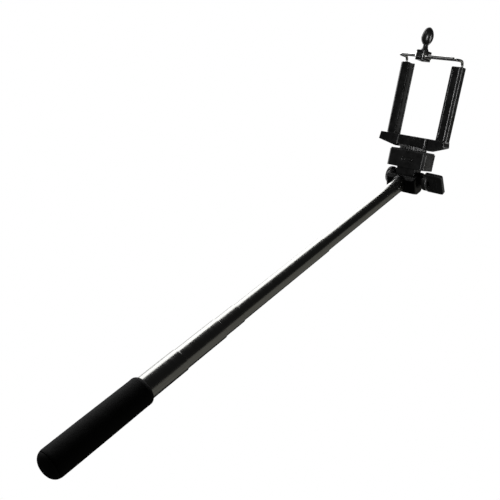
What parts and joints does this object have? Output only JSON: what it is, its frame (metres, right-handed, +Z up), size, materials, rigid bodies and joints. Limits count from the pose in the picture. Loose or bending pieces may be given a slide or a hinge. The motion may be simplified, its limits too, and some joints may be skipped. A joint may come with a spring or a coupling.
{
  "type": "selfie stick",
  "caption": "Telescopic hand pole with a foam grip, a lockable tilting head and a phone clip whose two sliding jaws are held by a wire clamp with a ball knob.",
  "frame": {"origin": "on the pole's axis at the middle of the grip, halfway between the butt and the front of the foam", "axes": "+Z up the pole towards the head, +X along the tilt axis towards the wing knob, -Y towards the side the head leans to"},
  "size_m": [0.0845, 0.1593, 0.5443],
  "materials": {
    "foam": "matt closed-cell foam",
    "cap_rubber": "matt moulded rubber",
    "tube": "dark polished plating",
    "shim": "satin phosphor bronze",
    "head_plastic": "satin moulded nylon",
    "clip_plastic": "semi-gloss moulded ABS",
    "pad_rubber": "fine ribbed rubber",
    "steel": "bright zinc plating",
    "wire_chrome": "polished nickel",
    "brass": "turned brass"
  },
  "bodies": {
    "handle": {"end_cap": "cap_rubber", "grip_sleeve": "foam", "tube_1": "tube"},
    "section_2": {"tube_2": "tube", "friction_sleeve_2": "shim"},
    "section_3": {"tube_3": "tube", "friction_sleeve_3": "shim"},
    "section_4": {"tube_4": "tube", "friction_sleeve_4": "shim"},
    "section_5": {"tube_5": "tube", "friction_sleeve_5": "shim", "yoke": "head_plastic", "yoke_pin": "steel", "hinge_bolt": "steel", "hinge_cap": "head_plastic", "hinge_washer": "steel"},
    "wing_knob": {"wing_knob": "head_plastic", "knob_insert": "brass"},
    "head": {"tilt_block": "head_plastic", "platform_pad": "pad_rubber", "camera_screw": "steel"},
    "lock_ring": {"lock_ring": "head_plastic"},
    "clip": {"clip_base": "clip_plastic", "base_insert": "brass", "base_plate": "clip_plastic", "base_screws": "steel"},
    "left_jaw": {"left_jaw": "clip_plastic", "left_pad": "pad_rubber", "left_wire": "wire_chrome"},
    "right_jaw": {"right_jaw": "clip_plastic", "right_pad": "pad_rubber", "right_wire": "wire_chrome", "clamp_plate_upper": "clip_plastic", "clamp_saddle": "wire_chrome", "clamp_plate_lower": "clip_plastic", "clamp_nut": "steel"},
    "clamp_knob": {"ball_knob": "clip_plastic", "clamp_stud": "steel"}
  },
  "joints": [
    {"name": "section_2_slide", "type": "slide", "parent": "handle", "child": "section_2", "axis": [0, 0, 1], "range_m": [-0.034, 0.065]},
    {"name": "section_3_slide", "type": "slide", "parent": "section_2", "child": "section_3", "axis": [0, 0, 1], "range_m": [-0.012, 0.097]},
    {"name": "section_4_slide", "type": "slide", "parent": "section_3", "child": "section_4", "axis": [0, 0, 1], "range_m": [-0.11, 0.0085]},
    {"name": "section_5_slide", "type": "slide", "parent": "section_4", "child": "section_5", "axis": [0, 0, 1], "range_m": [-0.124, 0.0065]},
    {"name": "head_tilt", "type": "hinge", "parent": "section_5", "child": "head", "pos_m": [0, 0, 0.4351], "axis": [1, 0, 0], "range_deg": [-133.5, 26.5]},
    {"name": "wing_knob_turn", "type": "hinge", "parent": "section_5", "child": "wing_knob", "pos_m": [0, 0, 0.4351], "axis": [1, 0, 0], "continuous": true},
    {"name": "lock_ring_turn", "type": "hinge", "parent": "head", "child": "lock_ring", "pos_m": [0, 0, 0.4351], "axis": [0, -0.8949, 0.4462], "continuous": true},
    {"name": "clip_turn", "type": "hinge", "parent": "head", "child": "clip", "pos_m": [0, 0, 0.4351], "axis": [0, -0.8949, 0.4462], "continuous": true},
    {"name": "left_jaw_slide", "type": "slide", "parent": "clip", "child": "left_jaw", "axis": [-1, 0, 0], "range_m": [0, 0.015]},
    {"name": "right_jaw_slide", "type": "slide", "parent": "clip", "child": "right_jaw", "axis": [1, 0, 0], "range_m": [0, 0.015]},
    {"name": "clamp_knob_turn", "type": "hinge", "parent": "right_jaw", "child": "clamp_knob", "pos_m": [-0.0048, -0.11995, 0.48094], "axis": [0, -0.8949, 0.4462], "continuous": true}
  ]
}
